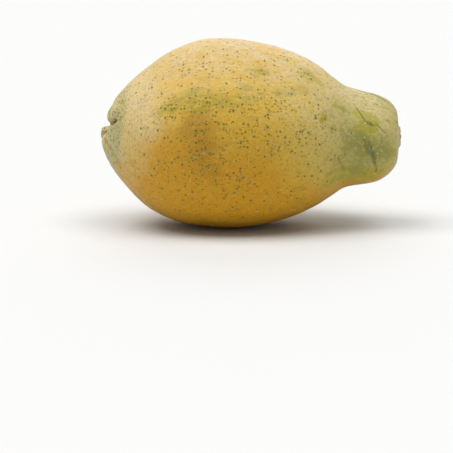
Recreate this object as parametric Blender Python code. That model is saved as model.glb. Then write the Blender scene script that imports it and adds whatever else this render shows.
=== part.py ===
"""A ripe papaya lying on its side: one solid, its navel towards -X and its stem end towards +X.

The skin is a sphere whose rows follow an outline from the navel to the stem scar. Five folds meet at
the navel, and the belly has five broad ridges in line with them. The fruit lies on a small flat spot.
"""

import math

import bmesh
import bpy
import numpy as np
from mathutils import Matrix, Vector

MM = 0.001

# Outline from the middle of the navel to the middle of the stem scar, in millimetres: the distance
# along the fruit, and the radius there.
NAVEL_FLOOR = [(9.0, 0.0), (7.2, 2.2)]
NAVEL_LIPS = [(3.2, 4.2), (1.4, 7.4), (2.2, 12.0)]
BELLY = [(6.8, 19.6), (14.8, 29.4), (25.4, 39.4), (39.5, 48.1), (56.0, 53.3), (75.0, 54.6), (94.0, 52.3)]
TAPER = [(111.0, 47.5), (124.5, 41.0), (134.0, 34.3), (141.0, 29.7)]
NECK = [(150.0, 27.4), (159.5, 25.3), (166.4, 21.5), (170.4, 16.6)]
STEM_FACE = [(171.6, 12.2), (171.3, 9.0)]
STEM_SCAR = [(172.6, 6.4), (173.6, 5.0), (174.0, 0.0)]
OUTLINE = NAVEL_FLOOR + NAVEL_LIPS + BELLY + TAPER + NECK + STEM_FACE + STEM_SCAR

# The long axis isn't straight: its height at every 20 mm, from the navel end.
AXIS_HEIGHTS = [2.2, -1.2, -1.2, 0.1, -0.3, -0.5, -0.6, -1.2, -1.9, -0.6]
AXIS_STEP = 20.0

# Five ridges, and in line with them the folds that meet at the navel, with a lobe between each two.
# Angles go round the long axis: 0 is the front (-Y), 90 the top.
FOLD_ANGLES_DEG = [20.0, 91.0, 184.0, 243.0, 308.0]
RIDGE_SHARE = 0.022
RIDGE_SHARE_NECK = 0.008
RIDGE_STARTS, RIDGE_FULL = 18.0, 45.0
NECK_STARTS, NECK_FULL = 112.0, 146.0
FOLD_DEPTH = 4.6
FOLD_FADES_FROM, FOLD_ENDS = 8.5, 20.0
FOLD_NARROWS_TO = 6.0

# How much further than the others each lobe reaches past the navel, from the lobe above the first fold.
LOBE_REACHES = [0.2, -2.3, 0.3, -0.3, -1.5]
LOBE_REACH_FADES_FROM, LOBE_REACH_ENDS = 8.0, 22.0

# The navel is turned a little towards the front and upwards, about a hinge inside the rounded end.
NAVEL_TILT_DEG = 16.0
NAVEL_TILT_TOWARDS_DEG = 52.0
NAVEL_HINGE_DEPTH = 19.0
NAVEL_TILT_ENDS = 20.0

FLAT_DEPTH = 0.8

COLUMNS = 80
ROWS_PER_POINT = 2
SKIN_COLOUR = (0.68, 0.42, 0.09, 1.0)
SKIN_ROUGHNESS = 0.45


def smooth(value, low, high):
    """0 up to low, 1 from high, and an S-curve between them."""
    share = np.clip((value - low) / (high - low), 0.0, 1.0)
    return share * share * (3.0 - 2.0 * share)


def curve(points, step):
    """A smooth curve through the points, read at fractional point numbers."""
    last = len(points) - 3
    i = np.clip(step.astype(int), 0, last - 1)
    share = step - i
    a, b, c, d = (points[i + k].T for k in range(4))
    line = 2.0 * b + (c - a) * share
    bend = (2.0 * a - 5.0 * b + 4.0 * c - d) * share**2
    twist = (3.0 * b - a - 3.0 * c + d) * share**3
    return 0.5 * (line + bend + twist)


def outline(step):
    """The outline at fractional point numbers, as (along, radius)."""
    navel_side = (OUTLINE[1][0], -OUTLINE[1][1])
    stem_side = (OUTLINE[-2][0], -OUTLINE[-2][1])
    return curve(np.array([navel_side] + OUTLINE + [stem_side]), step)


def axis_height(along):
    """How far the long axis is above its straight line."""
    heights = AXIS_HEIGHTS[:1] + AXIS_HEIGHTS + AXIS_HEIGHTS[-1:]
    return curve(np.array(heights), along / AXIS_STEP)


def ridge_share(along):
    """How far the ridges stand out, as a share of the radius."""
    belly = RIDGE_SHARE * smooth(along, RIDGE_STARTS, RIDGE_FULL)
    return belly + (RIDGE_SHARE_NECK - RIDGE_SHARE) * smooth(along, NECK_STARTS, NECK_FULL)


def fold_depth(step, radius, turn):
    """How deep the skin is folded in at the navel: sharp creases between full lobes."""
    at_navel = step < len(NAVEL_FLOOR + NAVEL_LIPS + BELLY)
    fade = smooth(radius, FOLD_FADES_FROM, FOLD_ENDS)
    depth = FOLD_DEPTH * smooth(radius, 0.0, 3.0) * (1.0 - fade) * at_navel
    crease = 1.0 - np.abs(np.sin(math.pi * turn))
    return depth * crease ** (1.0 + (FOLD_NARROWS_TO - 1.0) * fade)


def lobe_reach(step, radius, turn):
    """How far each lobe is pushed out past the navel."""
    at_navel = step < len(NAVEL_FLOOR + NAVEL_LIPS + BELLY)
    fade = 1.0 - smooth(radius, LOBE_REACH_FADES_FROM, LOBE_REACH_ENDS)
    reach = 0.0
    for lobe, most in enumerate(LOBE_REACHES):
        away = np.abs(np.remainder(turn - lobe - 0.5 + 2.5, 5.0) - 2.5)
        reach = reach + most * (1.0 - smooth(away, 0.0, 1.0))
    return reach * fade * at_navel


def tilt_navel(points, along):
    """Turns the rows near the navel about a hinge inside the fruit."""
    towards = math.radians(NAVEL_TILT_TOWARDS_DEG)
    up = np.array((0.0, -math.cos(towards), math.sin(towards)))
    tilt = math.radians(NAVEL_TILT_DEG) * (1.0 - smooth(along, 0.0, NAVEL_TILT_ENDS))
    behind = points[:, 0] - along - NAVEL_HINGE_DEPTH
    above = points @ up
    turned_x = behind * np.cos(tilt) + above * np.sin(tilt)
    turned_up = above * np.cos(tilt) - behind * np.sin(tilt)
    turned = points + np.outer(turned_up - above, up)
    turned[:, 0] = along + NAVEL_HINGE_DEPTH + turned_x
    return turned


def skin_points(step, turn):
    """Points of the skin, in millimetres.

    step is a fractional point number of the outline. turn goes round the fruit, and is a whole number
    from 0 to 5 at each fold.
    """
    folds = FOLD_ANGLES_DEG + [FOLD_ANGLES_DEG[0] + 360.0]
    around = np.radians(np.interp(turn, range(len(folds)), folds))
    along, radius = outline(step)
    after = outline(np.minimum(step + 0.01, len(OUTLINE) - 1))
    before = outline(np.maximum(step - 0.01, 0.0))
    run, rise = (after - before) / np.linalg.norm(after - before, axis=0)
    fold = fold_depth(step, radius, turn)
    x = along + rise * fold - lobe_reach(step, radius, turn)
    r = radius * (1.0 + ridge_share(along) * np.cos(math.tau * turn)) - run * fold
    points = np.stack([x, -r * np.cos(around), r * np.sin(around)], axis=1)
    points = tilt_navel(points, along)
    points[:, 2] += axis_height(along)
    return points


def clear_scene():
    """Removes every object of the startup scene."""
    for obj in list(bpy.data.objects):
        bpy.data.objects.remove(obj)


def skin_material():
    """The skin's plain colour and gloss."""
    material = bpy.data.materials.new("papaya_skin")
    material.use_nodes = True
    shader = material.node_tree.nodes["Principled BSDF"]
    shader.inputs["Base Color"].default_value = SKIN_COLOUR
    shader.inputs["Roughness"].default_value = SKIN_ROUGHNESS
    shader.inputs["Metallic"].default_value = 0.0
    return material


def shape_skin(fruit):
    """Lays the rows of a sphere along the outline, from the navel to the stem scar."""
    last = len(OUTLINE) - 1
    bmesh.ops.create_uvsphere(fruit, u_segments=COLUMNS, v_segments=last * ROWS_PER_POINT, radius=1.0)
    ball = np.array([vertex.co[:] for vertex in fruit.verts])
    step = np.arccos(np.clip(ball[:, 2], -1.0, 1.0)) / math.pi * last
    turn = np.remainder(np.arctan2(ball[:, 1], ball[:, 0]) / math.tau, 1.0) * 5.0
    for vertex, point in zip(fruit.verts, skin_points(step, turn)):
        vertex.co = Vector(point) * MM


def press_flat_spot(fruit):
    """Cuts the underside level, and closes the cut with one flat face."""
    floor = min(vertex.co.z for vertex in fruit.verts) + FLAT_DEPTH * MM
    whole = fruit.verts[:] + fruit.edges[:] + fruit.faces[:]
    cut = bmesh.ops.bisect_plane(
        fruit, geom=whole, plane_co=(0.0, 0.0, floor), plane_no=(0.0, 0.0, -1.0), clear_outer=True
    )
    rim = [item for item in cut["geom_cut"] if isinstance(item, bmesh.types.BMEdge)]
    bmesh.ops.edgenet_fill(fruit, edges=rim)
    bmesh.ops.recalc_face_normals(fruit, faces=fruit.faces[:])


def centre_on_floor(fruit):
    """Moves the fruit so that the middle of the underside of its bounding box is at the origin."""
    low = Vector(min(vertex.co[k] for vertex in fruit.verts) for k in range(3))
    high = Vector(max(vertex.co[k] for vertex in fruit.verts) for k in range(3))
    middle = (low + high) / 2.0
    fruit.transform(Matrix.Translation((-middle.x, -middle.y, -low.z)))


def build_papaya(collection):
    """The whole fruit as one object."""
    fruit = bmesh.new()
    shape_skin(fruit)
    press_flat_spot(fruit)
    centre_on_floor(fruit)
    mesh = bpy.data.meshes.new("papaya")
    fruit.to_mesh(mesh)
    fruit.free()
    mesh.materials.append(skin_material())
    mesh.shade_smooth()
    mesh.set_sharp_from_angle(angle=math.radians(40.0))
    papaya = bpy.data.objects.new("papaya", mesh)
    collection.objects.link(papaya)


def main():
    clear_scene()
    collection = bpy.data.collections.new("papaya")
    bpy.context.scene.collection.children.link(collection)
    build_papaya(collection)


main()
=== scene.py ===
"""The look of the papaya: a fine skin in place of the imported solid, its marks, and the studio."""

import math

import bmesh
import bpy
import numpy as np
from mathutils import Matrix, Vector


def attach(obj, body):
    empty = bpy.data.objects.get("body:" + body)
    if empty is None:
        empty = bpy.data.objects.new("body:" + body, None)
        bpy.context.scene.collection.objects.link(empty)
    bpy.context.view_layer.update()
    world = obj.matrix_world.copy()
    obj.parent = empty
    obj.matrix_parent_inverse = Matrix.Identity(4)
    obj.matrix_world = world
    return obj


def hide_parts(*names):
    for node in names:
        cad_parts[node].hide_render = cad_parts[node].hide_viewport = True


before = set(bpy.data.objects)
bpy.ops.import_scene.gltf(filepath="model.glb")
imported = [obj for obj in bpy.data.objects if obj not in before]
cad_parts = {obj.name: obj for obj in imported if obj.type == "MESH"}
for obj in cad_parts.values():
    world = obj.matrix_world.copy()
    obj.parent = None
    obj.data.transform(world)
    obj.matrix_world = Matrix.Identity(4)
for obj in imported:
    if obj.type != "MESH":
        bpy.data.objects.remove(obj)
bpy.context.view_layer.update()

MM = 0.001
# The mix node's sockets for colours, which have the names of other sockets too
MIX_FIRST, MIX_SECOND, MIX_RESULT = 6, 7, 2

# Camera and studio, in metres
CAMERA_DISTANCE = 1.0
CAMERA_ELEVATION_DEG = 8.0
CAMERA_LENS = 137.0
CAMERA_SENSOR = 36.0
CAMERA_SEES_TO = 50.0
FRUIT_CENTRE = Vector((0.0, 0.0, 0.0528))
AIM_RIGHT, AIM_UP = -0.0139, -0.053
FLOOR_HALF_WIDTH = 12.0
FLOOR_COLOUR = (0.72, 0.72, 0.715)
FLOOR_ROUGHNESS = 0.9
FLOOR_SHEEN = 0.2
# Soft lights as (name, strength, angle across in degrees, the direction that it comes from)
SOFT_LIGHTS = [
    ("overhead_left_light", 1.7, 38.0, Vector((-0.42, -0.16, 1.0))),
    ("overhead_right_light", 1.25, 38.0, Vector((0.3, -0.16, 1.0))),
    ("rim_light", 0.7, 50.0, Vector((0.0, 1.0, 0.7))),
]
SKY_COLOUR = (1.0, 1.0, 1.0)
SKY_STRENGTH = 0.36

# The fruit's outline from the middle of the navel to the middle of the stem scar, in millimetres: the
# distance along the fruit, and the radius there. The form is the solid's, with finer rows and columns.
NAVEL_FLOOR = [(9.0, 0.0), (7.2, 2.2)]
NAVEL_LIPS = [(3.2, 4.2), (1.4, 7.4), (2.2, 12.0)]
BELLY = [(6.8, 19.6), (14.8, 29.4), (25.4, 39.4), (39.5, 48.1), (56.0, 53.3), (75.0, 54.6), (94.0, 52.3)]
TAPER = [(111.0, 47.5), (124.5, 41.0), (134.0, 34.3), (141.0, 29.7)]
NECK = [(150.0, 27.4), (159.5, 25.3), (166.4, 21.5), (170.4, 16.6)]
STEM_FACE = [(171.6, 12.2), (171.3, 9.0)]
STEM_SCAR = [(172.6, 6.4), (173.6, 5.0), (174.0, 0.0)]
OUTLINE = NAVEL_FLOOR + NAVEL_LIPS + BELLY + TAPER + NECK + STEM_FACE + STEM_SCAR
AXIS_HEIGHTS = [2.2, -1.2, -1.2, 0.1, -0.3, -0.5, -0.6, -1.2, -1.9, -0.6]
AXIS_STEP = 20.0
FOLD_ANGLES_DEG = [20.0, 91.0, 184.0, 243.0, 308.0]
RIDGE_SHARE = 0.022
RIDGE_SHARE_NECK = 0.008
RIDGE_STARTS, RIDGE_FULL = 18.0, 45.0
NECK_STARTS, NECK_FULL = 112.0, 146.0
FOLD_DEPTH = 4.6
FOLD_FADES_FROM, FOLD_ENDS = 8.5, 20.0
FOLD_NARROWS_TO = 6.0
LOBE_REACHES = [0.2, -2.3, 0.3, -0.3, -1.5]
LOBE_REACH_FADES_FROM, LOBE_REACH_ENDS = 8.0, 22.0
NAVEL_TILT_DEG = 16.0
NAVEL_TILT_TOWARDS_DEG = 52.0
NAVEL_HINGE_DEPTH = 19.0
NAVEL_TILT_ENDS = 20.0
FLAT_DEPTH = 0.8

# Counts read from the lists above: the folds, and the outline point at which the stem face starts
FOLDS = len(FOLD_ANGLES_DEG)
STEM_FACE_STARTS = len(OUTLINE) - len(STEM_FACE + STEM_SCAR)

# The folds are closed here, with lobes fuller than the solid's, and a thin crease along each that runs
# further out than the fold does. A crease bends, by so many turns at its outer end.
FOLD_CLOSED = 2.4
CREASE_DEPTH = 1.8
CREASE_WIDTHS = [0.6, 0.6, 0.6, 0.6, 0.75]
CREASE_STARTS = (1.5, 5.0)
CREASE_FADES_FROM = 10.0
CREASE_ENDS = [22.0, 19.0, 19.0, 18.0, 33.0]
CREASE_STRENGTHS = [1.0, 0.8, 0.75, 0.9, 1.0]
CREASE_BENDS = [0.05, -0.10, 0.08, -0.07, 0.27]
# Between these radii a crease first bends back a little, and then all the way
CREASE_BENDS_BACK, BENT_BACK_SHARE = (5.0, 11.0), 0.35
CREASE_BENDS_OVER = (11.0, 18.0)
# How far out each crease gets painted shade, and how strongly it is coloured there
CREASE_SHADE_ENDS = [17.0, 12.0, 13.0, 12.0, 16.0]
CREASE_COLOURS = [1.0, 1.0, 1.0, 1.0, 0.5]
CREASE_COLOURS_FADE = (5.0, 10.0)
CREASE_PALES, PALED_SHARE = (13.0, 17.0), 0.35
# Painted shade: the dark pit in the middle, and the shade in the folds where they are this deep
PIT_FADES = (1.6, 4.0)
SHADED_DEPTHS = (3.0, 4.6)
SHADE_FADES = (5.0, 13.0)
BLOSSOM_STARTS = (5.0, 11.0)
# The shallow valley along each crease
VALLEY_DEPTH = 0.9
VALLEY_WIDTH = 2.6
VALLEY_STARTS = (8.0, 13.0)

# The corky scar: a hollow middle and a ragged rim
SCAR_HOLLOW = 1.5
SCAR_RING = 0.5
SCAR_RAGGED = 0.9
SCAR_RADIUS = 6.4

# Fineness of the skin, and its gentle unevenness, which only goes inwards
COLUMNS = 340
ROWS = 268
OUTLINE_SAMPLES = 6000
SEARCH_STEPS = 400
CLOSER_AT_NAVEL = 1.2
CLOSER_UNTIL, NOT_CLOSER_FROM = 4.0, 26.0
CLOSER_AT_SCAR = 3.0
CLOSER_AGAIN_FROM, CLOSER_AGAIN_FULL = 171.0, 171.6
UNEVENNESS = 0.11
FLAT_SOFTNESS = 0.3
# The height of the fruit's middle above the floor, in millimetres
MIDDLE_HEIGHT = 52.0

# The skin's ground colour along the fruit, as (mm along, linear colour)
GROUND_LENGTH = 175.0
GROUND = [
    (4.0, (0.50, 0.44, 0.20)),
    (14.0, (0.61, 0.48, 0.18)),
    (32.0, (0.66, 0.44, 0.105)),
    (48.0, (0.62, 0.375, 0.030)),
    (92.0, (0.61, 0.365, 0.015)),
    (112.0, (0.60, 0.41, 0.050)),
    (128.0, (0.52, 0.42, 0.09)),
    (142.0, (0.365, 0.347, 0.092)),
    (172.0, (0.43, 0.40, 0.135)),
]

# Where the skin is coloured otherwise. Each patch is (mm along, degrees round, length mm, width mm,
# strength); degrees round are 0 at the front and 90 at the top.
# Riper orange skin
RIPE_PATCHES = [
    (42.0, -4.0, 17.0, 16.0, 0.6),
    (50.0, -8.0, 12.0, 18.0, 0.5),
    (60.0, -26.0, 28.0, 20.0, 0.8),
    (88.0, -16.0, 18.0, 20.0, 0.6),
    (86.0, -52.0, 40.0, 26.0, 0.9),
    (36.0, -46.0, 14.0, 14.0, 0.6),
    (20.0, -38.0, 13.0, 14.0, 0.2),
    (24.0, -64.0, 20.0, 16.0, 0.35),
    (82.0, -90.0, 44.0, 40.0, 0.9),
    (140.0, -72.0, 30.0, 14.0, 0.6),
    (158.0, -46.0, 7.0, 7.0, 0.5),
    (112.0, -66.0, 26.0, 18.0, 0.6),
    (70.0, 150.0, 28.0, 22.0, 0.6),
    (58.0, 205.0, 26.0, 26.0, 0.9),
    (96.0, 236.0, 24.0, 22.0, 0.7),
]
# The deepest orange, and on the lower side painted shade: darker orange where the underside is shaded
DEEP_AND_SHADE_PATCHES = [
    # The patches from -72 to -118 degrees round are painted shade on the underside
    (92.0, -118.0, 60.0, 40.0, 0.9),
    (60.0, -96.0, 40.0, 30.0, 0.9),
    (110.0, -80.0, 22.0, 16.0, 0.5),
    (58.0, 14.0, 12.0, 9.0, 0.8),
    (62.0, -4.0, 12.0, 16.0, 0.8),
    (56.0, 18.0, 4.5, 2.5, 0.7),
    (52.5, 10.0, 3.0, 2.5, 0.6),
    (62.0, 3.0, 4.0, 2.5, 0.6),
    (67.0, -16.0, 4.0, 3.0, 0.5),
    (72.0, -72.0, 34.0, 22.0, 0.9),
    (80.0, -100.0, 50.0, 30.0, 0.8),
    (58.0, 212.0, 14.0, 13.0, 0.9),
    (88.0, 160.0, 14.0, 10.0, 0.5),
]
# Green streaky bands along the ridges
GREEN_PATCHES = [
    (40.0, 25.0, 11.0, 4.0, 0.38),
    (56.0, 29.0, 15.0, 8.0, 0.7),
    (78.0, 30.0, 14.0, 7.5, 0.5),
    (98.0, 36.0, 14.0, 7.0, 0.4),
    (114.0, 44.0, 9.0, 5.0, 0.45),
    (92.0, 52.0, 8.0, 7.0, 0.55),
    (58.0, 44.0, 9.0, 4.0, 0.4),
    (121.0, 61.0, 11.0, 7.0, 0.56),
    (50.0, -39.0, 5.0, 3.0, 0.5),
    (115.0, -43.0, 6.0, 4.0, 0.5),
    (64.0, 118.0, 26.0, 7.0, 0.6),
    (92.0, 172.0, 24.0, 8.0, 0.7),
    (48.0, 188.0, 16.0, 6.0, 0.6),
    (76.0, 262.0, 26.0, 7.0, 0.5),
]
# Painted sheen: a pale whitening on the upper side and the upper left, where the light falls
PAINTED_SHEEN_PATCHES = [
    (56.0, 84.0, 40.0, 46.0, 0.85),
    (108.0, 78.0, 34.0, 44.0, 0.85),
    (20.0, 52.0, 12.0, 14.0, 0.6),
    (150.0, 62.0, 24.0, 22.0, 0.55),
    (128.0, 24.0, 16.0, 14.0, 0.35),
    (26.0, 36.0, 7.0, 6.0, 0.6),
    (28.0, 14.0, 9.0, 6.0, 0.55),
    (61.0, 66.0, 14.0, 9.0, 0.45),
    (165.0, 46.0, 8.0, 12.0, 0.22),
]
# Pale rims of the lobes at the navel
RIM_PATCHES = [
    (3.5, -34.0, 3.0, 3.2, 0.6),
    (1.6, 8.0, 1.8, 5.0, 0.6),
    (4.0, 44.0, 2.4, 3.0, 0.7),
    (1.8, -76.0, 1.6, 4.0, 0.7),
]
# Yellow-green blotches at the neck
MUSTARD_PATCHES = [
    (126.0, 25.0, 7.0, 3.5, 0.45),
    (131.0, 17.0, 7.0, 4.5, 0.43),
    (136.0, 39.0, 7.0, 3.5, 0.62),
    (147.5, 38.0, 5.0, 4.5, 0.75),
    (154.5, 29.0, 5.5, 4.5, 0.85),
    (150.5, 17.0, 7.0, 4.0, 0.9),
    (154.0, -42.0, 12.0, 7.0, 0.75),
    (166.0, -14.0, 4.0, 6.0, 0.7),
    (134.0, -34.0, 12.0, 10.0, 0.6),
    (112.0, 130.0, 14.0, 8.0, 0.6),
    (126.0, 220.0, 14.0, 10.0, 0.6),
]
# Unripe olive green, mostly at the neck
OLIVE_PATCHES = [
    (84.0, 37.0, 13.0, 6.0, 0.3),
    (106.0, 38.0, 9.0, 7.0, 0.3),
    (140.0, 37.0, 9.0, 8.0, 0.38),
    (122.0, 40.0, 12.0, 8.0, 0.2),
    (141.0, 8.0, 8.0, 8.0, 0.4),
    (142.0, -18.0, 11.0, 10.0, 0.35),
    (150.0, 7.0, 5.0, 5.0, 0.8),
    (155.0, -10.0, 8.0, 8.0, 0.55),
    (163.0, -4.0, 6.0, 9.0, 0.5),
    (146.0, -34.0, 6.0, 5.0, 0.4),
    (160.0, 106.0, 10.0, 12.0, 0.5),
    (144.0, 150.0, 10.0, 12.0, 0.8),
    (154.0, 215.0, 12.0, 14.0, 0.9),
    (144.0, 280.0, 12.0, 10.0, 0.7),
]
# Dark green streaks on the neck, as (width mm, strength, path of (mm along, degrees round))
STREAKS = [
    (2.2, 0.62, [(149.6, 11.0), (151.4, 2.0), (153.0, -7.0), (154.8, -16.0), (156.2, -25.0)]),
    (1.2, 0.95, [(153.0, 6.0), (154.8, -6.0), (156.2, -15.0), (157.2, -25.0), (158.2, -40.0)]),
    (1.2, 0.6, [(135.4, -10.0), (137.2, -20.0), (140.0, -31.0)]),
    (1.1, 0.8, [(151.6, 29.0), (154.0, 26.0), (156.4, 22.5)]),
    (1.9, 0.95, [(146.0, 93.0), (151.0, 88.0), (157.0, 83.0), (162.0, 77.0), (165.5, 72.0)]),
    (1.2, 0.8, [(146.0, 150.0), (152.0, 162.0), (157.0, 176.0)]),
    (1.0, 0.7, [(140.0, 232.0), (147.0, 240.0), (156.0, 244.0)]),
]
# Paler yellow skin, and on the top and the upper left painted light: paler where the light falls most
PALE_AND_LIT_PATCHES = [
    (20.0, 40.0, 16.0, 16.0, 0.5),
    (18.0, 66.0, 15.0, 14.0, 0.8),
    (30.0, 22.0, 9.0, 14.0, 0.55),
    (118.0, 84.0, 22.0, 14.0, 0.6),
    (130.0, 60.0, 10.0, 10.0, 0.5),
    (166.0, 20.0, 8.0, 20.0, 0.4),
    (14.0, 120.0, 14.0, 20.0, 0.5),
    (16.0, 220.0, 14.0, 22.0, 0.5),
    (134.0, 160.0, 14.0, 16.0, 0.5),
    (132.0, -50.0, 10.0, 12.0, 0.3),
]
# Where there are more specks, and how many there are elsewhere
SPECK_PATCHES = [
    (42.0, 24.0, 6.0, 7.0, 0.65),
    (60.0, 28.0, 18.0, 9.0, 0.5),
    (60.0, 0.0, 16.0, 16.0, 0.75),
    (96.0, 28.0, 20.0, 10.0, 0.6),
    (102.0, 10.0, 22.0, 14.0, 0.75),
    (70.0, -30.0, 34.0, 12.0, 0.3),
    (82.0, -19.0, 9.0, 5.0, 0.9),
    (62.0, 62.0, 26.0, 10.0, 0.15),
    (92.0, 62.0, 30.0, 12.0, 0.15),
    (6.0, -10.0, 6.0, 20.0, 0.6),
    (10.0, 50.0, 7.0, 12.0, 0.6),
    (60.0, 118.0, 34.0, 12.0, 0.5),
    (88.0, 172.0, 34.0, 16.0, 0.6),
    (50.0, 196.0, 22.0, 12.0, 0.6),
    (80.0, 250.0, 30.0, 16.0, 0.5),
    (8.0, 200.0, 8.0, 24.0, 0.7),
]
SPECKS_EVERYWHERE = 0.25
FEWER_SPECKS, FEWER_SHARE = (116.0, 140.0), 0.65
# The greyish, finely speckled skin round the navel
BLOSSOM_PATCHES = [
    (11.0, 50.0, 5.5, 9.0, 0.8),
    (9.5, 24.0, 5.5, 7.0, 0.95),
    (6.0, -4.0, 6.5, 9.0, 1.0),
    (6.5, -30.0, 5.5, 9.0, 0.9),
    (8.0, -58.0, 5.0, 7.0, 0.3),
    (5.0, -78.0, 6.0, 7.0, 0.5),
    (12.0, 88.0, 5.0, 10.0, 0.6),
    (6.0, 130.0, 7.0, 12.0, 0.9),
    (10.0, 165.0, 7.0, 9.0, 0.8),
    (7.0, 215.0, 6.5, 14.0, 0.9),
    (9.0, 262.0, 7.0, 12.0, 0.8),
]
# Nearer the axis than this, in millimetres, patches and streaks are measured as if they were this far out
LEAST_RADIUS = 6.0
# The patches that the skin stores as they are, by the name that its material reads
STORED_PATCHES = {
    "ripe": RIPE_PATCHES,
    "deep": DEEP_AND_SHADE_PATCHES,
    "green": GREEN_PATCHES,
    "painted_sheen": PAINTED_SHEEN_PATCHES,
    "rim": RIM_PATCHES,
    "mustard": MUSTARD_PATCHES,
    "olive": OLIVE_PATCHES,
    "pale": PALE_AND_LIT_PATCHES,
}

# Skin colours, linear
ORANGE = (0.60, 0.295, 0.003, 1.0)
# Deep orange, also used as painted shade on the underside
DEEP_ORANGE_AND_SHADE = (0.43, 0.21, 0.001, 1.0)
MUSTARD = (0.37, 0.325, 0.035, 1.0)
GREEN = (0.37, 0.285, 0.014, 1.0)
OLIVE = (0.25, 0.255, 0.062, 1.0)
# Painted sheen: the pale whitening on the upper side
PAINTED_SHEEN = (0.66, 0.525, 0.31, 1.0)
RIM = (0.64, 0.53, 0.29, 1.0)
DARK_GREEN = (0.085, 0.125, 0.045, 1.0)
# Pale yellow, also used as painted light on the top and the upper left
PALE_AND_LIT = (0.74, 0.56, 0.245, 1.0)
SPECK_GREEN = (0.085, 0.105, 0.009, 1.0)
SPECK_BROWN = (0.13, 0.07, 0.035, 1.0)
CORK_PALE = (0.62, 0.42, 0.26, 1.0)
BLOSSOM_GREY = (0.46, 0.42, 0.235, 1.0)
BLOSSOM_GREEN = (0.46, 0.42, 0.12, 1.0)
BLOSSOM_SPECK = (0.165, 0.195, 0.08, 1.0)
# Painted shade in the navel's folds, creases and pit, warm orange to brown
FOLD_SHADE_ORANGE = (0.48, 0.255, 0.045, 1.0)
FOLD_SHADE_BROWN = (0.17, 0.068, 0.016, 1.0)
SCAR_CORK = (0.54, 0.35, 0.25, 1.0)
# Scar brown: the cork's dark streaks, and painted shade in the scar's hollows and at its edge
SCAR_BROWN_AND_SHADE = (0.15, 0.065, 0.035, 1.0)
SKIN_ROUGHNESS = 0.48
SKIN_SHEEN = 0.25
SKIN_GLOW = 0.05
SKIN_GLOW_DEPTHS = (0.004, 0.002, 0.0005)
# Two colours each for the small pieces, and how rough they are
LATEX_COLOURS = [(0.78, 0.74, 0.68, 1.0), (0.62, 0.50, 0.44, 1.0)]
REMNANT_COLOURS = [(0.022, 0.012, 0.008, 1.0), (0.11, 0.06, 0.035, 1.0)]
SCRATCH_COLOURS = [(0.045, 0.055, 0.022, 1.0), (0.10, 0.085, 0.035, 1.0)]
LATEX_ROUGHNESS = 0.35
REMNANT_ROUGHNESS = 0.75
SCRATCH_ROUGHNESS = 0.6

# Marks on the skin: (mm along, degrees round, radius mm) for beads of dried latex, and the paths of two
# healed scratches as (mm along, degrees round)
LATEX_BEADS = [
    (132.6, 52.0, 0.5),
    (141.8, 11.5, 0.42),
    (150.8, 8.5, 0.4),
    (158.4, -11.5, 0.42),
    (151.4, 26.0, 0.5),
    (95.4, 32.0, 0.42),
    (91.2, 31.6, 0.32),
    (148.0, 170.0, 0.45),
    (120.0, 205.0, 0.4),
]
SCRATCHES = [
    [(144.4, 51.5), (147.0, 43.0), (150.0, 32.8), (152.2, 26.0), (155.0, 23.0)],
    [(156.0, 29.5), (159.6, 21.8), (164.0, 12.8)],
]
SCRATCH_WIDTHS = [0.85, 0.6]
SCRATCH_STEPS = 24
# How high a scratch's crest is above the skin, and how deep its edges are in it, in millimetres
SCRATCH_CREST, SCRATCH_ROOT = 0.06, 0.05
# The dry remnant in the navel, as (height above the pit's floor, radius), in millimetres
REMNANT_LOWER = [(-0.6, 1.7), (0.5, 1.85), (1.3, 1.7), (2.0, 1.35)]
REMNANT_UPPER = [(2.6, 1.2), (3.0, 0.95), (3.15, 0.6), (2.7, 0.25)]
REMNANT_CORNERS = 60


def smooth(value, low, high):
    """0 up to low, 1 from high, and an S-curve between them."""
    share = np.clip((value - low) / (high - low), 0.0, 1.0)
    return share * share * (3.0 - 2.0 * share)


def bell(distance, width):
    """1 at no distance, falling off smoothly on both sides."""
    return np.exp(-((distance / width) ** 2))


def curve(points, step):
    """A smooth curve through the points, read at fractional point numbers."""
    last = len(points) - 3
    i = np.clip(step.astype(int), 0, last - 1)
    share = step - i
    a, b, c, d = (points[i + k].T for k in range(4))
    line = 2.0 * b + (c - a) * share
    bend = (2.0 * a - 5.0 * b + 4.0 * c - d) * share**2
    twist = (3.0 * b - a - 3.0 * c + d) * share**3
    return 0.5 * (line + bend + twist)


def outline(step):
    """The outline at fractional point numbers, as (along, radius)."""
    navel_side = (OUTLINE[1][0], -OUTLINE[1][1])
    stem_side = (OUTLINE[-2][0], -OUTLINE[-2][1])
    return curve(np.array([navel_side] + OUTLINE + [stem_side]), step)


def axis_height(along):
    """How far the long axis is above its straight line."""
    heights = AXIS_HEIGHTS[:1] + AXIS_HEIGHTS + AXIS_HEIGHTS[-1:]
    return curve(np.array(heights), along / AXIS_STEP)


def ridge_share(along):
    """How far the ridges stand out, as a share of the radius."""
    belly = RIDGE_SHARE * smooth(along, RIDGE_STARTS, RIDGE_FULL)
    return belly + (RIDGE_SHARE_NECK - RIDGE_SHARE) * smooth(along, NECK_STARTS, NECK_FULL)


def near_navel(step):
    """Whether an outline point is on the navel's half of the fruit."""
    return step < len(NAVEL_FLOOR + NAVEL_LIPS + BELLY)


def fold_depth(step, radius, turn):
    """How deep the skin is folded in at the navel: closed folds between full lobes."""
    fade = smooth(radius, FOLD_FADES_FROM, FOLD_ENDS)
    depth = FOLD_DEPTH * smooth(radius, 0.0, 3.0) * (1.0 - fade) * near_navel(step)
    closed = 1.0 - np.abs(np.sin(math.pi * turn))
    return depth * closed ** (FOLD_CLOSED + (FOLD_NARROWS_TO - FOLD_CLOSED) * fade)


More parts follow.
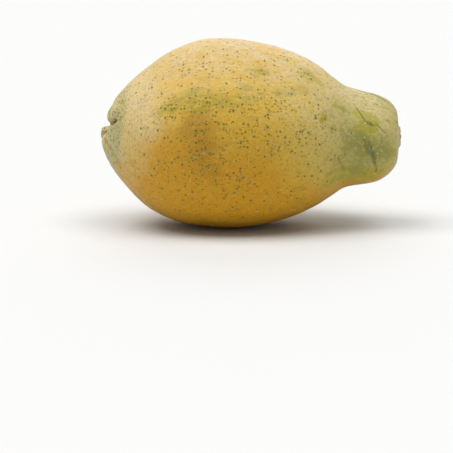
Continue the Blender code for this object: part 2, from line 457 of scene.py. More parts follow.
def lobe_reach(step, radius, turn):
    """How far each lobe is pushed out past the navel."""
    fade = 1.0 - smooth(radius, LOBE_REACH_FADES_FROM, LOBE_REACH_ENDS)
    half_way = FOLDS / 2.0
    reach = 0.0
    for lobe, most in enumerate(LOBE_REACHES):
        away = np.abs(np.remainder(turn - lobe - 0.5 + half_way, FOLDS) - half_way)
        reach = reach + most * (1.0 - smooth(away, 0.0, 1.0))
    return reach * fade * near_navel(step)


def nearest_crease(turn, values):
    """The value that belongs to the crease nearest to each point."""
    return np.array(values)[np.rint(turn).astype(int) % len(values)]


def beside_crease(radius, turn):
    """How far each point is to the side of its nearest crease, in millimetres."""
    sway = smooth(radius, *CREASE_BENDS_OVER) - BENT_BACK_SHARE * smooth(radius, *CREASE_BENDS_BACK)
    bend = nearest_crease(turn, CREASE_BENDS) * sway
    return (turn - np.rint(turn) - bend) * math.tau / FOLDS * radius


def crease(step, radius, turn):
    """How strongly a thin crease shows, from 0 to 1."""
    ends = nearest_crease(turn, CREASE_ENDS)
    fade = smooth(radius, *CREASE_STARTS) * (1.0 - smooth(radius, CREASE_FADES_FROM, ends))
    width = nearest_crease(turn, CREASE_WIDTHS) * (1.35 - 0.6 * smooth(radius, 4.0, ends))
    strength = nearest_crease(turn, CREASE_STRENGTHS) * fade * near_navel(step)
    return strength * bell(beside_crease(radius, turn), width)


def valley(step, radius, turn):
    """How deep the shallow valley along each crease is, in millimetres."""
    ends = nearest_crease(turn, CREASE_ENDS)
    fade = smooth(radius, *VALLEY_STARTS) * (1.0 - smooth(radius, ends - 8.0, ends + 2.0))
    fade = fade * near_navel(step)
    return VALLEY_DEPTH * fade * bell(beside_crease(radius, turn), VALLEY_WIDTH)


def scar_share(step, radius):
    """1 on the stem scar, 0 off it."""
    return (step > STEM_FACE_STARTS) * (1.0 - smooth(radius, SCAR_RADIUS - 1.2, SCAR_RADIUS))


def scar_dip(step, radius, around):
    """How deep the corky scar is sunk, in millimetres."""
    ragged = 2.3 + np.sin(7.0 * around + 0.9 * radius) + 0.7 * np.sin(13.0 * around - 1.7 * radius + 1.0)
    ragged += 0.6 * np.sin(23.0 * around + 2.3 * radius)
    rim = smooth(radius, 1.5, 4.4)
    hollow = SCAR_HOLLOW * (1.0 - smooth(radius + 0.35 * np.sin(5.0 * around), 1.4, 3.6))
    ring = SCAR_RING * bell(radius - 3.9 - 0.3 * np.sin(4.0 * around + 1.0), 0.45)
    return scar_share(step, radius) * (hollow + ring + SCAR_RAGGED * rim * ragged / 4.6)


def tilt_navel(points, along):
    """Turns the rows near the navel about a hinge inside the fruit."""
    towards = math.radians(NAVEL_TILT_TOWARDS_DEG)
    up = np.array((0.0, -math.cos(towards), math.sin(towards)))
    tilt = math.radians(NAVEL_TILT_DEG) * (1.0 - smooth(along, 0.0, NAVEL_TILT_ENDS))
    behind = points[:, 0] - along - NAVEL_HINGE_DEPTH
    above = points @ up
    turned_x = behind * np.cos(tilt) + above * np.sin(tilt)
    turned_up = above * np.cos(tilt) - behind * np.sin(tilt)
    turned = points + np.outer(turned_up - above, up)
    turned[:, 0] = along + NAVEL_HINGE_DEPTH + turned_x
    return turned


def angle_round(turn):
    """The angle round the long axis, in degrees, of a turn that is a whole number at each fold."""
    folds = FOLD_ANGLES_DEG + [FOLD_ANGLES_DEG[0] + 360.0]
    return np.interp(turn, range(len(folds)), folds)


def skin_points(step, turn):
    """Points of the even skin before it is put on the floor, in millimetres."""
    around = np.radians(angle_round(turn))
    along, radius = outline(step)
    after = outline(np.minimum(step + 0.01, len(OUTLINE) - 1))
    before = outline(np.maximum(step - 0.01, 0.0))
    run, rise = (after - before) / np.linalg.norm(after - before, axis=0)
    fold = fold_depth(step, radius, turn)
    x = along + rise * fold - lobe_reach(step, radius, turn)
    r = radius * (1.0 + ridge_share(along) * np.cos(math.tau * turn)) - run * fold
    points = np.stack([x, -r * np.cos(around), r * np.sin(around)], axis=1)
    points = tilt_navel(points, along)
    points[:, 2] += axis_height(along)
    return points


def row_steps():
    """Outline point numbers for the rows of the skin, close together at the navel and the scar."""
    steps = np.linspace(0.0, len(OUTLINE) - 1.0, OUTLINE_SAMPLES)
    along, radius = outline(steps)
    length = np.hypot(np.diff(along), np.diff(radius))
    middle = (along[1:] + along[:-1]) / 2.0
    at_navel = CLOSER_AT_NAVEL * (1.0 - smooth(middle, CLOSER_UNTIL, NOT_CLOSER_FROM))
    at_scar = CLOSER_AT_SCAR * smooth(middle, CLOSER_AGAIN_FROM, CLOSER_AGAIN_FULL)
    closer = at_navel + at_scar
    length = length * (1.0 + closer)
    travelled = np.concatenate([[0.0], np.cumsum(length)])
    return np.interp(np.linspace(0.0, travelled[-1], ROWS + 1), travelled, steps)


def place_on_floor(points, low, high):
    """Presses the flat spot and puts the fruit where the solid is, given the corners of its box."""
    middle = (low + high) / 2.0
    height = points[:, 2] - low[2] - FLAT_DEPTH
    pressed = 0.5 * (height + np.sqrt(height**2 + FLAT_SOFTNESS**2))
    deepest = 0.5 * (math.sqrt(FLAT_DEPTH**2 + FLAT_SOFTNESS**2) - FLAT_DEPTH)
    return np.stack([points[:, 0] - middle[0], points[:, 1] - middle[1], pressed - deepest], axis=1)


def unevenness(along, around):
    """How far the skin dips below the even form, in millimetres."""
    first = np.sin(0.19 * along + 3.0 * around + 0.7) * np.sin(0.11 * along - 4.0 * around + 2.1)
    second = np.sin(0.37 * along - 7.0 * around) * np.sin(0.29 * along + 8.0 * around + 1.3)
    return UNEVENNESS * (2.0 + first + 0.6 * second)


def degrees_between(around, other):
    """How far round one angle is from another, from -180 to 180 degrees."""
    return np.remainder(around - other + 180.0, 360.0) - 180.0


def patches(form, spots):
    """The strength of a set of soft patches at each point, from 0 to 1."""
    total = np.zeros_like(form.along)
    reach = np.maximum(form.radius, LEAST_RADIUS)
    for along, around, length, width, strength in spots:
        sideways = np.radians(degrees_between(form.around, around)) * reach / width
        total += strength * np.exp(-(((form.along - along) / length) ** 2) - sideways**2)
    return np.clip(total, 0.0, 1.0)


def streaks(form):
    """The strength of the dark streaks at each point, from 0 to 1."""
    total = np.zeros_like(form.along)
    reach = np.maximum(form.radius, LEAST_RADIUS)
    for width, strength, path in STREAKS:
        for k, ((along_a, around_a), (along_b, around_b)) in enumerate(zip(path, path[1:])):
            x = form.along - along_a
            y = np.radians(degrees_between(form.around, around_a)) * reach
            run = along_b - along_a
            rise = np.radians(around_b - around_a) * reach
            share = np.clip((x * run + y * rise) / (run**2 + rise**2), 0.0, 1.0)
            away = np.hypot(x - share * run, y - share * rise)
            taper = 0.3 + 0.7 * np.sin(math.pi * (k + share) / (len(path) - 1))
            total = np.maximum(total, strength * bell(away, width * taper))
    return total


def add_attribute(mesh, name, values):
    """Stores one number a vertex, for the materials to read."""
    attribute = mesh.attributes.new(name, "FLOAT", "POINT")
    attribute.data.foreach_set("value", np.asarray(values, dtype=np.float32))


def new_object(name, mesh, material):
    """Puts a mesh in the scene as a smooth piece of the fruit."""
    mesh.shade_smooth()
    mesh.materials.append(material)
    piece = bpy.data.objects.new(name, mesh)
    bpy.context.scene.collection.objects.link(piece)
    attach(piece, "root")
    return piece


def add_piece(name, shape, material):
    """Turns finished mesh code into a piece of the fruit."""
    mesh = bpy.data.meshes.new(name)
    shape.to_mesh(mesh)
    shape.free()
    new_object(name, mesh, material)


def join_rings(shape, rings):
    """Faces between each two rings of points, and a cap at both ends."""
    corners = len(rings[0])
    for low, high in zip(rings, rings[1:]):
        for k in range(corners):
            after = (k + 1) % corners
            shape.faces.new((low[k], low[after], high[after], high[k]))
    shape.faces.new(rings[-1])
    shape.faces.new(rings[0][::-1])


class Form:
    """The fine skin as numbers: where each point is, and its place on the fruit."""

    def __init__(self):
        ball = bmesh.new()
        bmesh.ops.create_uvsphere(ball, u_segments=COLUMNS, v_segments=ROWS, radius=1.0)
        self.mesh = bpy.data.meshes.new("papaya_skin")
        ball.to_mesh(self.mesh)
        ball.free()
        co = np.empty(len(self.mesh.vertices) * 3)
        self.mesh.vertices.foreach_get("co", co)
        co = co.reshape(-1, 3)
        row = np.rint(np.arccos(np.clip(co[:, 2], -1.0, 1.0)) / math.pi * ROWS).astype(int)
        self.step = row_steps()[row]
        self.turn = np.remainder(np.arctan2(co[:, 1], co[:, 0]) / math.tau, 1.0) * FOLDS
        self.along, self.radius = outline(self.step)
        self.around = angle_round(self.turn)
        points = skin_points(self.step, self.turn)
        self.low, self.high = points.min(axis=0), points.max(axis=0)
        shaped = self.shaped(self.step, self.turn)
        self.mesh.vertices.foreach_set("co", (shaped * MM).ravel())
        self.mesh.update()

    def even(self, step, turn):
        """Points of the even skin in the scene, in millimetres."""
        return place_on_floor(skin_points(step, turn), self.low, self.high)

    def shaped(self, step, turn):
        """Points of the skin in the scene, in millimetres, with its creases, scar and unevenness."""
        points = self.even(step, turn)
        step_by, turn_by = 0.004, 0.002
        beyond = self.even(np.minimum(step + step_by, len(OUTLINE) - 1), turn)
        before = self.even(np.maximum(step - step_by, 0.0), turn)
        left = self.even(step, np.remainder(turn - turn_by, FOLDS))
        right = self.even(step, np.remainder(turn + turn_by, FOLDS))
        normals = np.cross(right - left, beyond - before)
        normals /= np.maximum(np.linalg.norm(normals, axis=1), 1e-9)[:, None]
        along, radius = outline(step)
        around = np.radians(angle_round(turn))
        dip = unevenness(along, around) * smooth(points[:, 2], 0.0, 4.0) + valley(step, radius, turn)
        shaped = points + normals * dip[:, None] * self.inwards(normals, points)
        shaped[:, 0] += CREASE_DEPTH * crease(step, radius, turn) - scar_dip(step, radius, around)
        return shaped

    def inwards(self, normals, points):
        """The sign that makes the normals point into the fruit."""
        centre = np.array([0.0, 0.0, MIDDLE_HEIGHT])
        return np.sign(np.sum(normals * (centre - points), axis=1))[:, None]

    def at(self, along, around):
        """The point of the skin at a place on the fruit, in millimetres, and its normal."""
        steps = np.linspace(len(NAVEL_FLOOR) + 1.0, STEM_FACE_STARTS, SEARCH_STEPS)
        step = np.interp(along, outline(steps)[0], steps)
        turns = np.linspace(0.0, FOLDS, SEARCH_STEPS + 1)
        first = FOLD_ANGLES_DEG[0]
        turn = np.interp(first + (around - first) % 360.0, angle_round(turns), turns)
        by = 0.02
        steps = np.array([step, step + by, step - by, step, step])
        turns = np.array([turn, turn, turn, turn + by, turn - by]) % FOLDS
        point, beyond, before, right, left = (Vector(p) for p in self.shaped(steps, turns))
        normal = (beyond - before).cross(right - left).normalized()
        if normal.dot(point - Vector((point.x, 0.0, MIDDLE_HEIGHT))) < 0.0:
            normal.negate()
        return point, normal


class Nodes:
    """Shorthand for building a material's node tree."""

    def __init__(self, name):
        self.material = bpy.data.materials.new(name)
        self.material.use_nodes = True
        self.tree = self.material.node_tree
        self.shader = self.tree.nodes["Principled BSDF"]
        self.place = self.tree.nodes.new("ShaderNodeTexCoord").outputs["Object"]

    def link(self, value, socket):
        """Joins an output to an input, or sets the input to a plain value."""
        if isinstance(value, bpy.types.NodeSocket):
            self.tree.links.new(value, socket)
        else:
            socket.default_value = value

    def finish(self, colour, roughness, bump):
        """Links the shader's main inputs, and returns the material."""
        self.link(colour, self.shader.inputs["Base Color"])
        self.link(roughness, self.shader.inputs["Roughness"])
        self.link(bump, self.shader.inputs["Normal"])
        return self.material

    def math(self, operation, first, second, third=0.0):
        node = self.tree.nodes.new("ShaderNodeMath")
        node.operation = operation
        for value, socket in zip((first, second, third), node.inputs):
            self.link(value, socket)
        return node.outputs[0]

    def times(self, first, second):
        return self.math("MULTIPLY", first, second)

    def ramp(self, value, low, high):
        """0 up to low, 1 from high, smooth between. Low may be the larger."""
        node = self.tree.nodes.new("ShaderNodeMapRange")
        node.interpolation_type = "SMOOTHSTEP"
        self.link(value, node.inputs["Value"])
        self.link(low, node.inputs["From Min"])
        self.link(high, node.inputs["From Max"])
        return node.outputs["Result"]

    def mix(self, share, first, second):
        node = self.tree.nodes.new("ShaderNodeMix")
        node.data_type = "RGBA"
        self.link(share, node.inputs["Factor"])
        self.link(first, node.inputs[MIX_FIRST])
        self.link(second, node.inputs[MIX_SECOND])
        return node.outputs[MIX_RESULT]

    def brightened(self, colour, value, low, high):
        """A colour made darker or brighter, from low where value is 0 to high where it is 1."""
        node = self.tree.nodes.new("ShaderNodeHueSaturation")
        self.link(self.math("MULTIPLY_ADD", value, high - low, low), node.inputs["Value"])
        self.link(colour, node.inputs["Color"])
        return node.outputs["Color"]

    def colour_ramp(self, value, stops, longest):
        """Colours at places along a length."""
        node = self.tree.nodes.new("ShaderNodeValToRGB")
        ramp = node.color_ramp
        while len(ramp.elements) < len(stops):
            ramp.elements.new(0.5)
        for element, (place, colour) in zip(ramp.elements, stops):
            element.position = place / longest
            element.color = colour + (1.0,)
        self.link(value, node.inputs["Fac"])
        return node.outputs["Color"]

    def attribute(self, name):
        """A number that the skin stores on its points."""
        node = self.tree.nodes.new("ShaderNodeAttribute")
        node.attribute_name = name
        return node.outputs["Fac"]

    def stretched(self, along):
        """Object coordinates squeezed along the fruit, which draws patterns out that way."""
        node = self.tree.nodes.new("ShaderNodeMapping")
        node.inputs["Scale"].default_value = (along, 1.0, 1.0)
        self.link(self.place, node.inputs["Vector"])
        return node.outputs["Vector"]

    def noise(self, size_mm, detail=3.0, place=None, roughness=0.55):
        """Noise with features of about this size."""
        node = self.tree.nodes.new("ShaderNodeTexNoise")
        self.link(place or self.place, node.inputs["Vector"])
        node.inputs["Scale"].default_value = 1.0 / (size_mm * MM)
        node.inputs["Detail"].default_value = detail
        node.inputs["Roughness"].default_value = roughness
        return node.outputs["Fac"]

    def cells(self, size_mm, place):
        """Scattered cells: the distance to the nearest centre in cell sizes, and three random numbers."""
        node = self.tree.nodes.new("ShaderNodeTexVoronoi")
        self.link(place, node.inputs["Vector"])
        node.inputs["Scale"].default_value = 1.0 / (size_mm * MM)
        split = self.tree.nodes.new("ShaderNodeSeparateColor")
        self.link(node.outputs["Color"], split.inputs["Color"])
        return [node.outputs["Distance"]] + list(split.outputs)

    def wobbled(self, size_mm, amount_mm):
        """Object coordinates shaken a little, so that round shapes come out irregular."""
        node = self.tree.nodes.new("ShaderNodeTexNoise")
        self.link(self.place, node.inputs["Vector"])
        node.inputs["Scale"].default_value = 1.0 / (size_mm * MM)
        shift = self.tree.nodes.new("ShaderNodeVectorMath")
        shift.operation = "MULTIPLY_ADD"
        self.link(node.outputs["Color"], shift.inputs[0])
        shift.inputs[1].default_value = (amount_mm * MM,) * 3
        self.link(self.place, shift.inputs[2])
        return shift.outputs["Vector"]

    def bump(self, height, depth_mm, strength=1.0, under=None):
        node = self.tree.nodes.new("ShaderNodeBump")
        node.inputs["Distance"].default_value = depth_mm * MM
        node.inputs["Strength"].default_value = strength
        self.link(height, node.inputs["Height"])
        if under:
            self.link(under, node.inputs["Normal"])
        return node.outputs["Normal"]

    def dots(self, size_mm, radius_mm, chance, place):
        """Round dots at random, more where chance is high: the dots, their haloes and their tint."""
        distance, first, second, third = self.cells(size_mm, place)
        radius = self.math("MULTIPLY_ADD", second, 0.7 * radius_mm / size_mm, 0.65 * radius_mm / size_mm)
        away = self.math("DIVIDE", distance, radius)
        shown = self.math("LESS_THAN", first, chance)
        dot = self.times(self.ramp(away, 1.25, 0.4), shown)
        halo = self.times(self.ramp(away, 2.3, 0.8), shown)
        return dot, halo, third


class SkinNodes(Nodes):
    """The skin's nodes, with the noises that several of its colours share."""

    def __init__(self):
        super().__init__("papaya_skin")
        self.cloudy = self.noise(6.0, detail=5.0, place=self.stretched(0.5), roughness=0.62)
        self.fibre = self.noise(1.0, place=self.stretched(0.35), roughness=0.6)
        self.mottle = self.noise(1.7, detail=4.0)

    def shaken(self, name, amount):
        """A stored number, shaken by the cloudy noise."""
        shake = self.math("SUBTRACT", self.cloudy, 0.5)
        return self.math("MULTIPLY_ADD", shake, amount, self.attribute(name))

    def patch(self, name, most, broken=0.9, low=0.1, high=0.85):
        """A stored patch, with its edge broken up by noise."""
        return self.times(self.ramp(self.shaken(name, broken), low, high), most)


def ripening(skin):
    """Yellow ground ripening to orange; deep orange that is partly painted shade on the underside; paler
    skin that is partly painted light; and a painted sheen on the upper side.
    """
    colour = skin.colour_ramp(skin.shaken("along", 0.12), GROUND, GROUND_LENGTH)
    colour = skin.mix(skin.patch("ripe", most=0.95, broken=0.8, low=0.0, high=1.0), colour, ORANGE)
    # Deep orange, and painted shade on the underside
    colour = skin.mix(skin.patch("deep", most=0.85, broken=1.5, low=0.05, high=1.1), colour, DEEP_ORANGE_AND_SHADE)
    # Paler skin, and painted light on the top and the upper left
    colour = skin.mix(skin.patch("pale", most=0.75), colour, PALE_AND_LIT)
    # Painted sheen: the upper side whitened where the light falls
    painted_sheen = skin.times(skin.attribute("painted_sheen"), skin.ramp(skin.cloudy, 0.15, 0.75))
    return skin.mix(painted_sheen, colour, PAINTED_SHEEN)


def greening(skin, colour):
    """Green bands, mustard and olive blotches, and dark streaks."""
    streaky = skin.noise(2.6, detail=4.0, place=skin.stretched(0.3), roughness=0.6)
    green = skin.times(skin.patch("green", most=1.0, broken=1.2, high=0.8), skin.ramp(streaky, 0.3, 0.58))
    colour = skin.mix(green, colour, GREEN)
    colour = skin.mix(skin.patch("mustard", most=0.85, broken=1.4, low=0.34, high=0.6), colour, MUSTARD)
    olive = skin.times(skin.patch("olive", most=0.95, broken=1.3), skin.ramp(skin.mottle, 0.2, 0.5))
    colour = skin.mix(olive, colour, OLIVE)
    streak = skin.patch("streak", most=0.92, broken=0.95, low=0.2, high=0.8)
    return skin.mix(skin.times(streak, skin.ramp(skin.fibre, 0.28, 0.52)), colour, DARK_GREEN)


def mottling(skin, colour):
    """Fine variation all over, and olive dapple on the neck."""
    tinge = skin.times(skin.ramp(skin.mottle, 0.45, 0.75), skin.ramp(skin.cloudy, 0.3, 0.7))
    colour = skin.mix(skin.times(tinge, 0.6), colour, GREEN)
    on_neck = skin.ramp(skin.attribute("along"), 0.68, 0.86)
    dapple = skin.times(skin.ramp(skin.mottle, 0.5, 0.7), on_neck)
    colour = skin.mix(skin.times(dapple, 0.65), colour, OLIVE)
    colour = skin.mix(skin.times(skin.ramp(skin.mottle, 0.46, 0.22), 0.28), colour, PALE_AND_LIT)
    colour = skin.mix(skin.times(skin.ramp(skin.fibre, 0.45, 0.68), 0.3), colour, DEEP_ORANGE_AND_SHADE)
    fine = skin.noise(0.8, detail=2.0, place=skin.stretched(0.5))
    return skin.brightened(colour, skin.ramp(fine, 0.2, 0.8), 0.95, 1.10)


def navel_skin(skin, colour):
    """Greyish skin round the navel, and the pale rims of its lobes."""
    blossom = skin.patch("blossom", most=0.8, broken=1.4, low=0.2, high=1.05)
    tint = skin.mix(skin.ramp(skin.noise(3.0), 0.4, 0.6), BLOSSOM_GREY, BLOSSOM_GREEN)
    colour = skin.mix(skin.times(blossom, skin.ramp(skin.mottle, 0.25, 0.55)), colour, tint)
    rim = skin.times(skin.attribute("rim"), skin.ramp(skin.mottle, 0.15, 0.6))
    return skin.mix(rim, colour, RIM)


def speckling(skin, colour):
    """Green and brown specks, tiny dots at the navel, corky spots: the colour, and the specks."""
    place = skin.wobbled(1.4, 0.8)
    chance = skin.times(skin.attribute("specks"), skin.ramp(skin.noise(8.0, detail=2.0), 0.15, 0.68))
    big, halo, kind = skin.dots(size_mm=1.9, radius_mm=0.60, chance=chance, place=place)
    fewer = skin.times(chance, 0.75)
    small, _, _ = skin.dots(size_mm=1.3, radius_mm=0.40, chance=fewer, place=place)
    colour = skin.mix(skin.times(halo, 0.2), colour, OLIVE)
    specks = skin.math("MAXIMUM", big, skin.times(small, 0.75))
    speck_colour = skin.mix(skin.math("GREATER_THAN", kind, 0.9), SPECK_GREEN, SPECK_BROWN)
    colour = skin.mix(skin.times(specks, 0.84), colour, speck_colour)

    scattered = skin.times(skin.ramp(skin.attribute("blossom"), 0.05, 1.1), 0.85)
    tiny, _, _ = skin.dots(size_mm=1.1, radius_mm=0.42, chance=scattered, place=skin.wobbled(0.9, 0.9))
    colour = skin.mix(skin.times(tiny, 0.8), colour, BLOSSOM_SPECK)
    corky, _, _ = skin.dots(size_mm=4.2, radius_mm=0.8, chance=0.06, place=skin.wobbled(1.0, 1.2))
    return skin.mix(skin.times(corky, 0.55), colour, CORK_PALE), specks


def folds_and_scar(skin, colour):
    """Painted shade, warm brown, in the navel's folds, creases and pit; and cork on the stem scar, with
    painted shade in its hollows.
    """
    # Painted shade in the navel's pit, folds and creases
    fold = skin.attribute("fold")
    colour = skin.mix(skin.ramp(fold, 0.1, 0.7), colour, FOLD_SHADE_ORANGE)
    dark = skin.times(skin.ramp(fold, 0.35, 0.9), skin.attribute("fold_shade_dark"))
    colour = skin.mix(dark, colour, FOLD_SHADE_BROWN)
    cork = skin.mix(skin.ramp(skin.noise(0.9, detail=4.0), 0.35, 0.7), SCAR_CORK, SCAR_BROWN_AND_SHADE)
    # Painted shade in the scar's hollows and at its edge
    cork = skin.mix(skin.attribute("scar_hollow_shade"), cork, SCAR_BROWN_AND_SHADE)
    return skin.mix(skin.ramp(skin.attribute("scar"), 0.1, 0.6), colour, cork)


def skin_bump(skin, specks):
    """Pores, a faint orange-peel waviness, and specks that stand a little proud."""
    pores = skin.bump(skin.noise(0.7, detail=2.0), depth_mm=0.05, strength=0.5)
    peel = skin.bump(skin.noise(3.2), depth_mm=0.12, strength=0.4, under=pores)
    return skin.bump(specks, depth_mm=0.04, strength=0.6, under=peel)


def skin_material():
    """Ripe skin: yellow to orange, green along the ridges and at the neck, speckled, with a waxy sheen."""
    skin = SkinNodes()
    colour = mottling(skin, greening(skin, ripening(skin)))
    colour, specks = speckling(skin, navel_skin(skin, colour))
    colour = folds_and_scar(skin, colour)
    skin.shader.inputs["Specular IOR Level"].default_value = SKIN_SHEEN
    skin.shader.inputs["Subsurface Weight"].default_value = SKIN_GLOW
    skin.shader.inputs["Subsurface Radius"].default_value = SKIN_GLOW_DEPTHS
    skin.shader.inputs["Subsurface Scale"].default_value = 1.0
    return skin.finish(colour, SKIN_ROUGHNESS, skin_bump(skin, specks))


def store_patches(form):
    """Where the skin is coloured otherwise, and how many specks it has."""
    for name, spots in STORED_PATCHES.items():
        add_attribute(form.mesh, name, patches(form, spots))
    add_attribute(form.mesh, "streak", streaks(form))
    add_attribute(form.mesh, "along", form.along / GROUND_LENGTH)
    specks = SPECKS_EVERYWHERE * (1.0 - FEWER_SHARE * smooth(form.along, *FEWER_SPECKS))
    specks = specks + patches(form, SPECK_PATCHES)
    add_attribute(form.mesh, "specks", np.clip(specks, 0.0, 1.0))


def store_navel(form):
    """Where the navel's folds, creases and pit get painted shade, how dark it is, and where its greyish
    skin is.
    """
    step, radius, turn = form.step, form.radius, form.turn
    pit = near_navel(step) * (1.0 - smooth(radius, *PIT_FADES))
    folded = smooth(fold_depth(step, radius, turn), *SHADED_DEPTHS)
    folded = folded * (1.0 - smooth(radius, *SHADE_FADES))
    lost = (1.0 - nearest_crease(turn, CREASE_COLOURS)) * smooth(radius, *CREASE_COLOURS_FADE)
    thin = crease(step, radius, turn) * (1.0 - lost) * (1.0 - PALED_SHARE * smooth(radius, *CREASE_PALES))
    # Painted shade in the pit, the deep folds and along the creases
    add_attribute(form.mesh, "fold", np.maximum(np.maximum(pit, 0.5 * folded), thin))
    shade_ends = nearest_crease(turn, CREASE_SHADE_ENDS)
    add_attribute(form.mesh, "fold_shade_dark", 1.0 - smooth(radius, shade_ends - 5.0, shade_ends + 2.0))
    blossom = patches(form, BLOSSOM_PATCHES) * smooth(radius, *BLOSSOM_STARTS)
    add_attribute(form.mesh, "blossom", blossom)


def store_scar(form):
    """Where the stem scar is, and where it is darkened: painted shade in its hollows, and at its edge a
    torn brown ring that is partly painted shadow.
    """
    add_attribute(form.mesh, "scar", scar_share(form.step, form.radius))
    dip = scar_dip(form.step, form.radius, np.radians(form.around))
    edge = (form.step > STEM_FACE_STARTS - 1) * bell(form.radius - SCAR_RADIUS, 0.45)
    add_attribute(form.mesh, "scar_hollow_shade", np.maximum(smooth(dip, 0.4, 1.5), 0.7 * edge))


def build_skin(form):
    """The whole skin, with the places of its colours stored on its points."""
    store_patches(form)
    store_navel(form)
    store_scar(form)
    skin = new_object("papaya_skin", form.mesh, skin_material())
    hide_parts("papaya")


def latex_material():
    """Dried latex: milky and slightly glossy."""
    nodes = Nodes("dried_latex")
    colour = nodes.mix(nodes.noise(0.5, detail=2.0), *LATEX_COLOURS)
    return nodes.finish(colour, LATEX_ROUGHNESS, nodes.bump(nodes.noise(0.3, detail=2.0), depth_mm=0.05))


def build_latex(form):
    """Beads of dried latex, pressed a little into the skin."""
    beads = bmesh.new()
    squash = Matrix.Diagonal((1.0, 0.8, 0.55, 1.0))
    for along, around, radius in LATEX_BEADS:
        point, normal = form.at(along, around)
        bead = bmesh.ops.create_icosphere(beads, subdivisions=3, radius=radius * MM)
        turn = normal.to_track_quat("Z", "Y").to_matrix().to_4x4()
        place = Matrix.Translation(point * MM) @ turn @ squash
        bmesh.ops.transform(beads, matrix=place, verts=bead["verts"])
    add_piece("latex_beads", beads, latex_material())


def remnant_material():
    """What is left of the flower: dry, fibrous and nearly black."""
    nodes = Nodes("dry_remnant")
    fibre = nodes.noise(0.5, place=nodes.stretched(0.3))
    colour = nodes.mix(nodes.ramp(fibre, 0.35, 0.7), *REMNANT_COLOURS)
    return nodes.finish(colour, REMNANT_ROUGHNESS, nodes.bump(fibre, depth_mm=0.15))


def navel_directions():
    """The way that the navel faces, and two directions across it."""
    tilt, towards = math.radians(NAVEL_TILT_DEG), math.radians(NAVEL_TILT_TOWARDS_DEG)
    side = Vector((0.0, -math.cos(towards), math.sin(towards)))
    outwards = Vector((-math.cos(tilt), 0.0, 0.0)) + side * math.sin(tilt)
    across = outwards.cross(side).normalized()
    return outwards, across, across.cross(outwards)


def build_remnant(form):
    """The dry remnant of the flower in the middle of the navel: a ragged five-cornered stub."""
    outwards, across, upright = navel_directions()
    root = Vector(form.shaped(np.array([0.0]), np.array([0.0]))[0])
    knot = bmesh.new()
    rings = []
    for height, radius in REMNANT_LOWER + REMNANT_UPPER:
        ring = []
        for k in range(REMNANT_CORNERS):
            angle = math.tau * k / REMNANT_CORNERS
            ragged = 1.0 + 0.22 * math.cos(5.0 * angle) + 0.10 * math.sin(3.0 * angle + 2.0 * height)
            ragged += 0.07 * math.sin(13.0 * angle - 3.0 * height)
            rise = height + 0.3 * math.sin(4.0 * angle + 1.0) * radius / 2.0
            spot = across * math.cos(angle) * radius * ragged + upright * math.sin(angle) * radius * ragged
            ring.append(knot.verts.new((root + outwards * rise + spot) * MM))
        rings.append(ring)
    join_rings(knot, rings)
    bmesh.ops.recalc_face_normals(knot, faces=knot.faces[:])
    add_piece("dry_remnant", knot, remnant_material())


def scratch_material():
    """Healed scratches: thin olive-brown cork."""
    nodes = Nodes("healed_scratch")
    colour = nodes.mix(nodes.noise(1.2), *SCRATCH_COLOURS)
    return nodes.finish(colour, SCRATCH_ROUGHNESS, nodes.bump(nodes.noise(0.4, detail=2.0), depth_mm=0.04))


def scratch_rings(ribbons, form, path, width):
    """Three-cornered rings of points along a scratch, with their crest a hair above the skin."""
    ends = np.array([path[0]] + path + [path[-1]])
    along, around = curve(ends, np.linspace(0.0, len(path) - 1.0, SCRATCH_STEPS + 1))
    spots = [form.at(a, t) for a, t in zip(along, around)]
    rings = []
    for i, (point, normal) in enumerate(spots):
        before = spots[max(i - 2, 0)][0]
        after = spots[min(i + 2, SCRATCH_STEPS)][0]
        side = (after - before).cross(normal).normalized()
        half = 0.5 * width * math.sin(math.pi * (i + 0.6) / (SCRATCH_STEPS + 1.2)) ** 0.6
        half *= 1.0 + 0.35 * math.sin(2.7 * i)
        crest = point + normal * SCRATCH_CREST
        root = point - normal * SCRATCH_ROOT
        corners = (root - side * half, crest, root + side * half)
        rings.append([ribbons.verts.new(corner * MM) for corner in corners])
    return rings


def build_scratches(form):
    """Two thin healed scratches on the neck."""
    ribbons = bmesh.new()
    for path, width in zip(SCRATCHES, SCRATCH_WIDTHS):
        join_rings(ribbons, scratch_rings(ribbons, form, path, width))
    bmesh.ops.recalc_face_normals(ribbons, faces=ribbons.faces[:])
    add_piece("healed_scratches", ribbons, scratch_material())


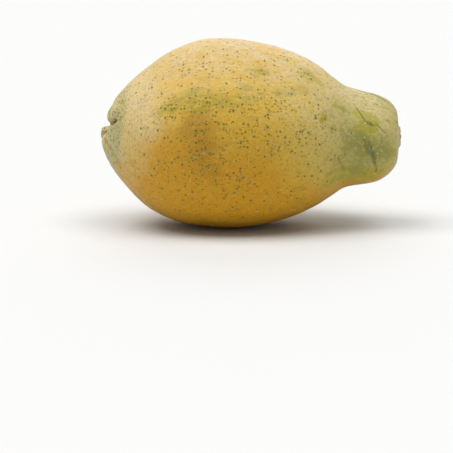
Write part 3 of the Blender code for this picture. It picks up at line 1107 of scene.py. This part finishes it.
def floor_material():
    """A plain pale matt surface."""
    nodes = Nodes("floor")
    nodes.link(FLOOR_COLOUR + (1.0,), nodes.shader.inputs["Base Color"])
    nodes.link(FLOOR_ROUGHNESS, nodes.shader.inputs["Roughness"])
    nodes.link(FLOOR_SHEEN, nodes.shader.inputs["Specular IOR Level"])
    return nodes.material


def build_floor():
    """A plain pale floor."""
    half = FLOOR_HALF_WIDTH
    corners = [(-half, -half, 0), (half, -half, 0), (half, half, 0), (-half, half, 0)]
    mesh = bpy.data.meshes.new("floor")
    mesh.from_pydata(corners, [], [(0, 1, 2, 3)])
    mesh.materials.append(floor_material())
    floor = bpy.data.objects.new("floor", mesh)
    bpy.context.scene.collection.objects.link(floor)


def build_lights():
    """Three broad soft lights from above and behind."""
    for name, strength, angle, comes_from in SOFT_LIGHTS:
        light = bpy.data.lights.new(name, "SUN")
        light.energy = strength
        light.angle = math.radians(angle)
        lamp = bpy.data.objects.new(name, light)
        lamp.rotation_euler = comes_from.to_track_quat("Z", "Y").to_euler()
        bpy.context.scene.collection.objects.link(lamp)


def build_sky():
    """An even white sky."""
    world = bpy.data.worlds.new("sky")
    world.use_nodes = True
    background = world.node_tree.nodes["Background"]
    background.inputs["Color"].default_value = SKY_COLOUR + (1.0,)
    background.inputs["Strength"].default_value = SKY_STRENGTH
    bpy.context.scene.world = world
    bpy.context.scene.view_settings.view_transform = "Standard"


def build_camera():
    """The photograph's view: from the front, a little above the fruit."""
    elevation = math.radians(CAMERA_ELEVATION_DEG)
    back = Vector((0.0, -math.cos(elevation), math.sin(elevation)))
    up = Vector((0.0, math.sin(elevation), math.cos(elevation)))
    camera_data = bpy.data.cameras.new("camera")
    camera_data.lens = CAMERA_LENS
    camera_data.sensor_width = CAMERA_SENSOR
    camera_data.clip_end = CAMERA_SEES_TO
    camera = bpy.data.objects.new("camera", camera_data)
    camera.location = FRUIT_CENTRE + back * CAMERA_DISTANCE
    aim = FRUIT_CENTRE + Vector((AIM_RIGHT, 0.0, 0.0)) + up * AIM_UP
    camera.rotation_euler = (camera.location - aim).to_track_quat("Z", "Y").to_euler()
    bpy.context.scene.collection.objects.link(camera)
    bpy.context.scene.camera = camera


form = Form()
build_skin(form)
build_latex(form)
build_remnant(form)
build_scratches(form)
build_floor()
build_lights()
build_sky()
build_camera()
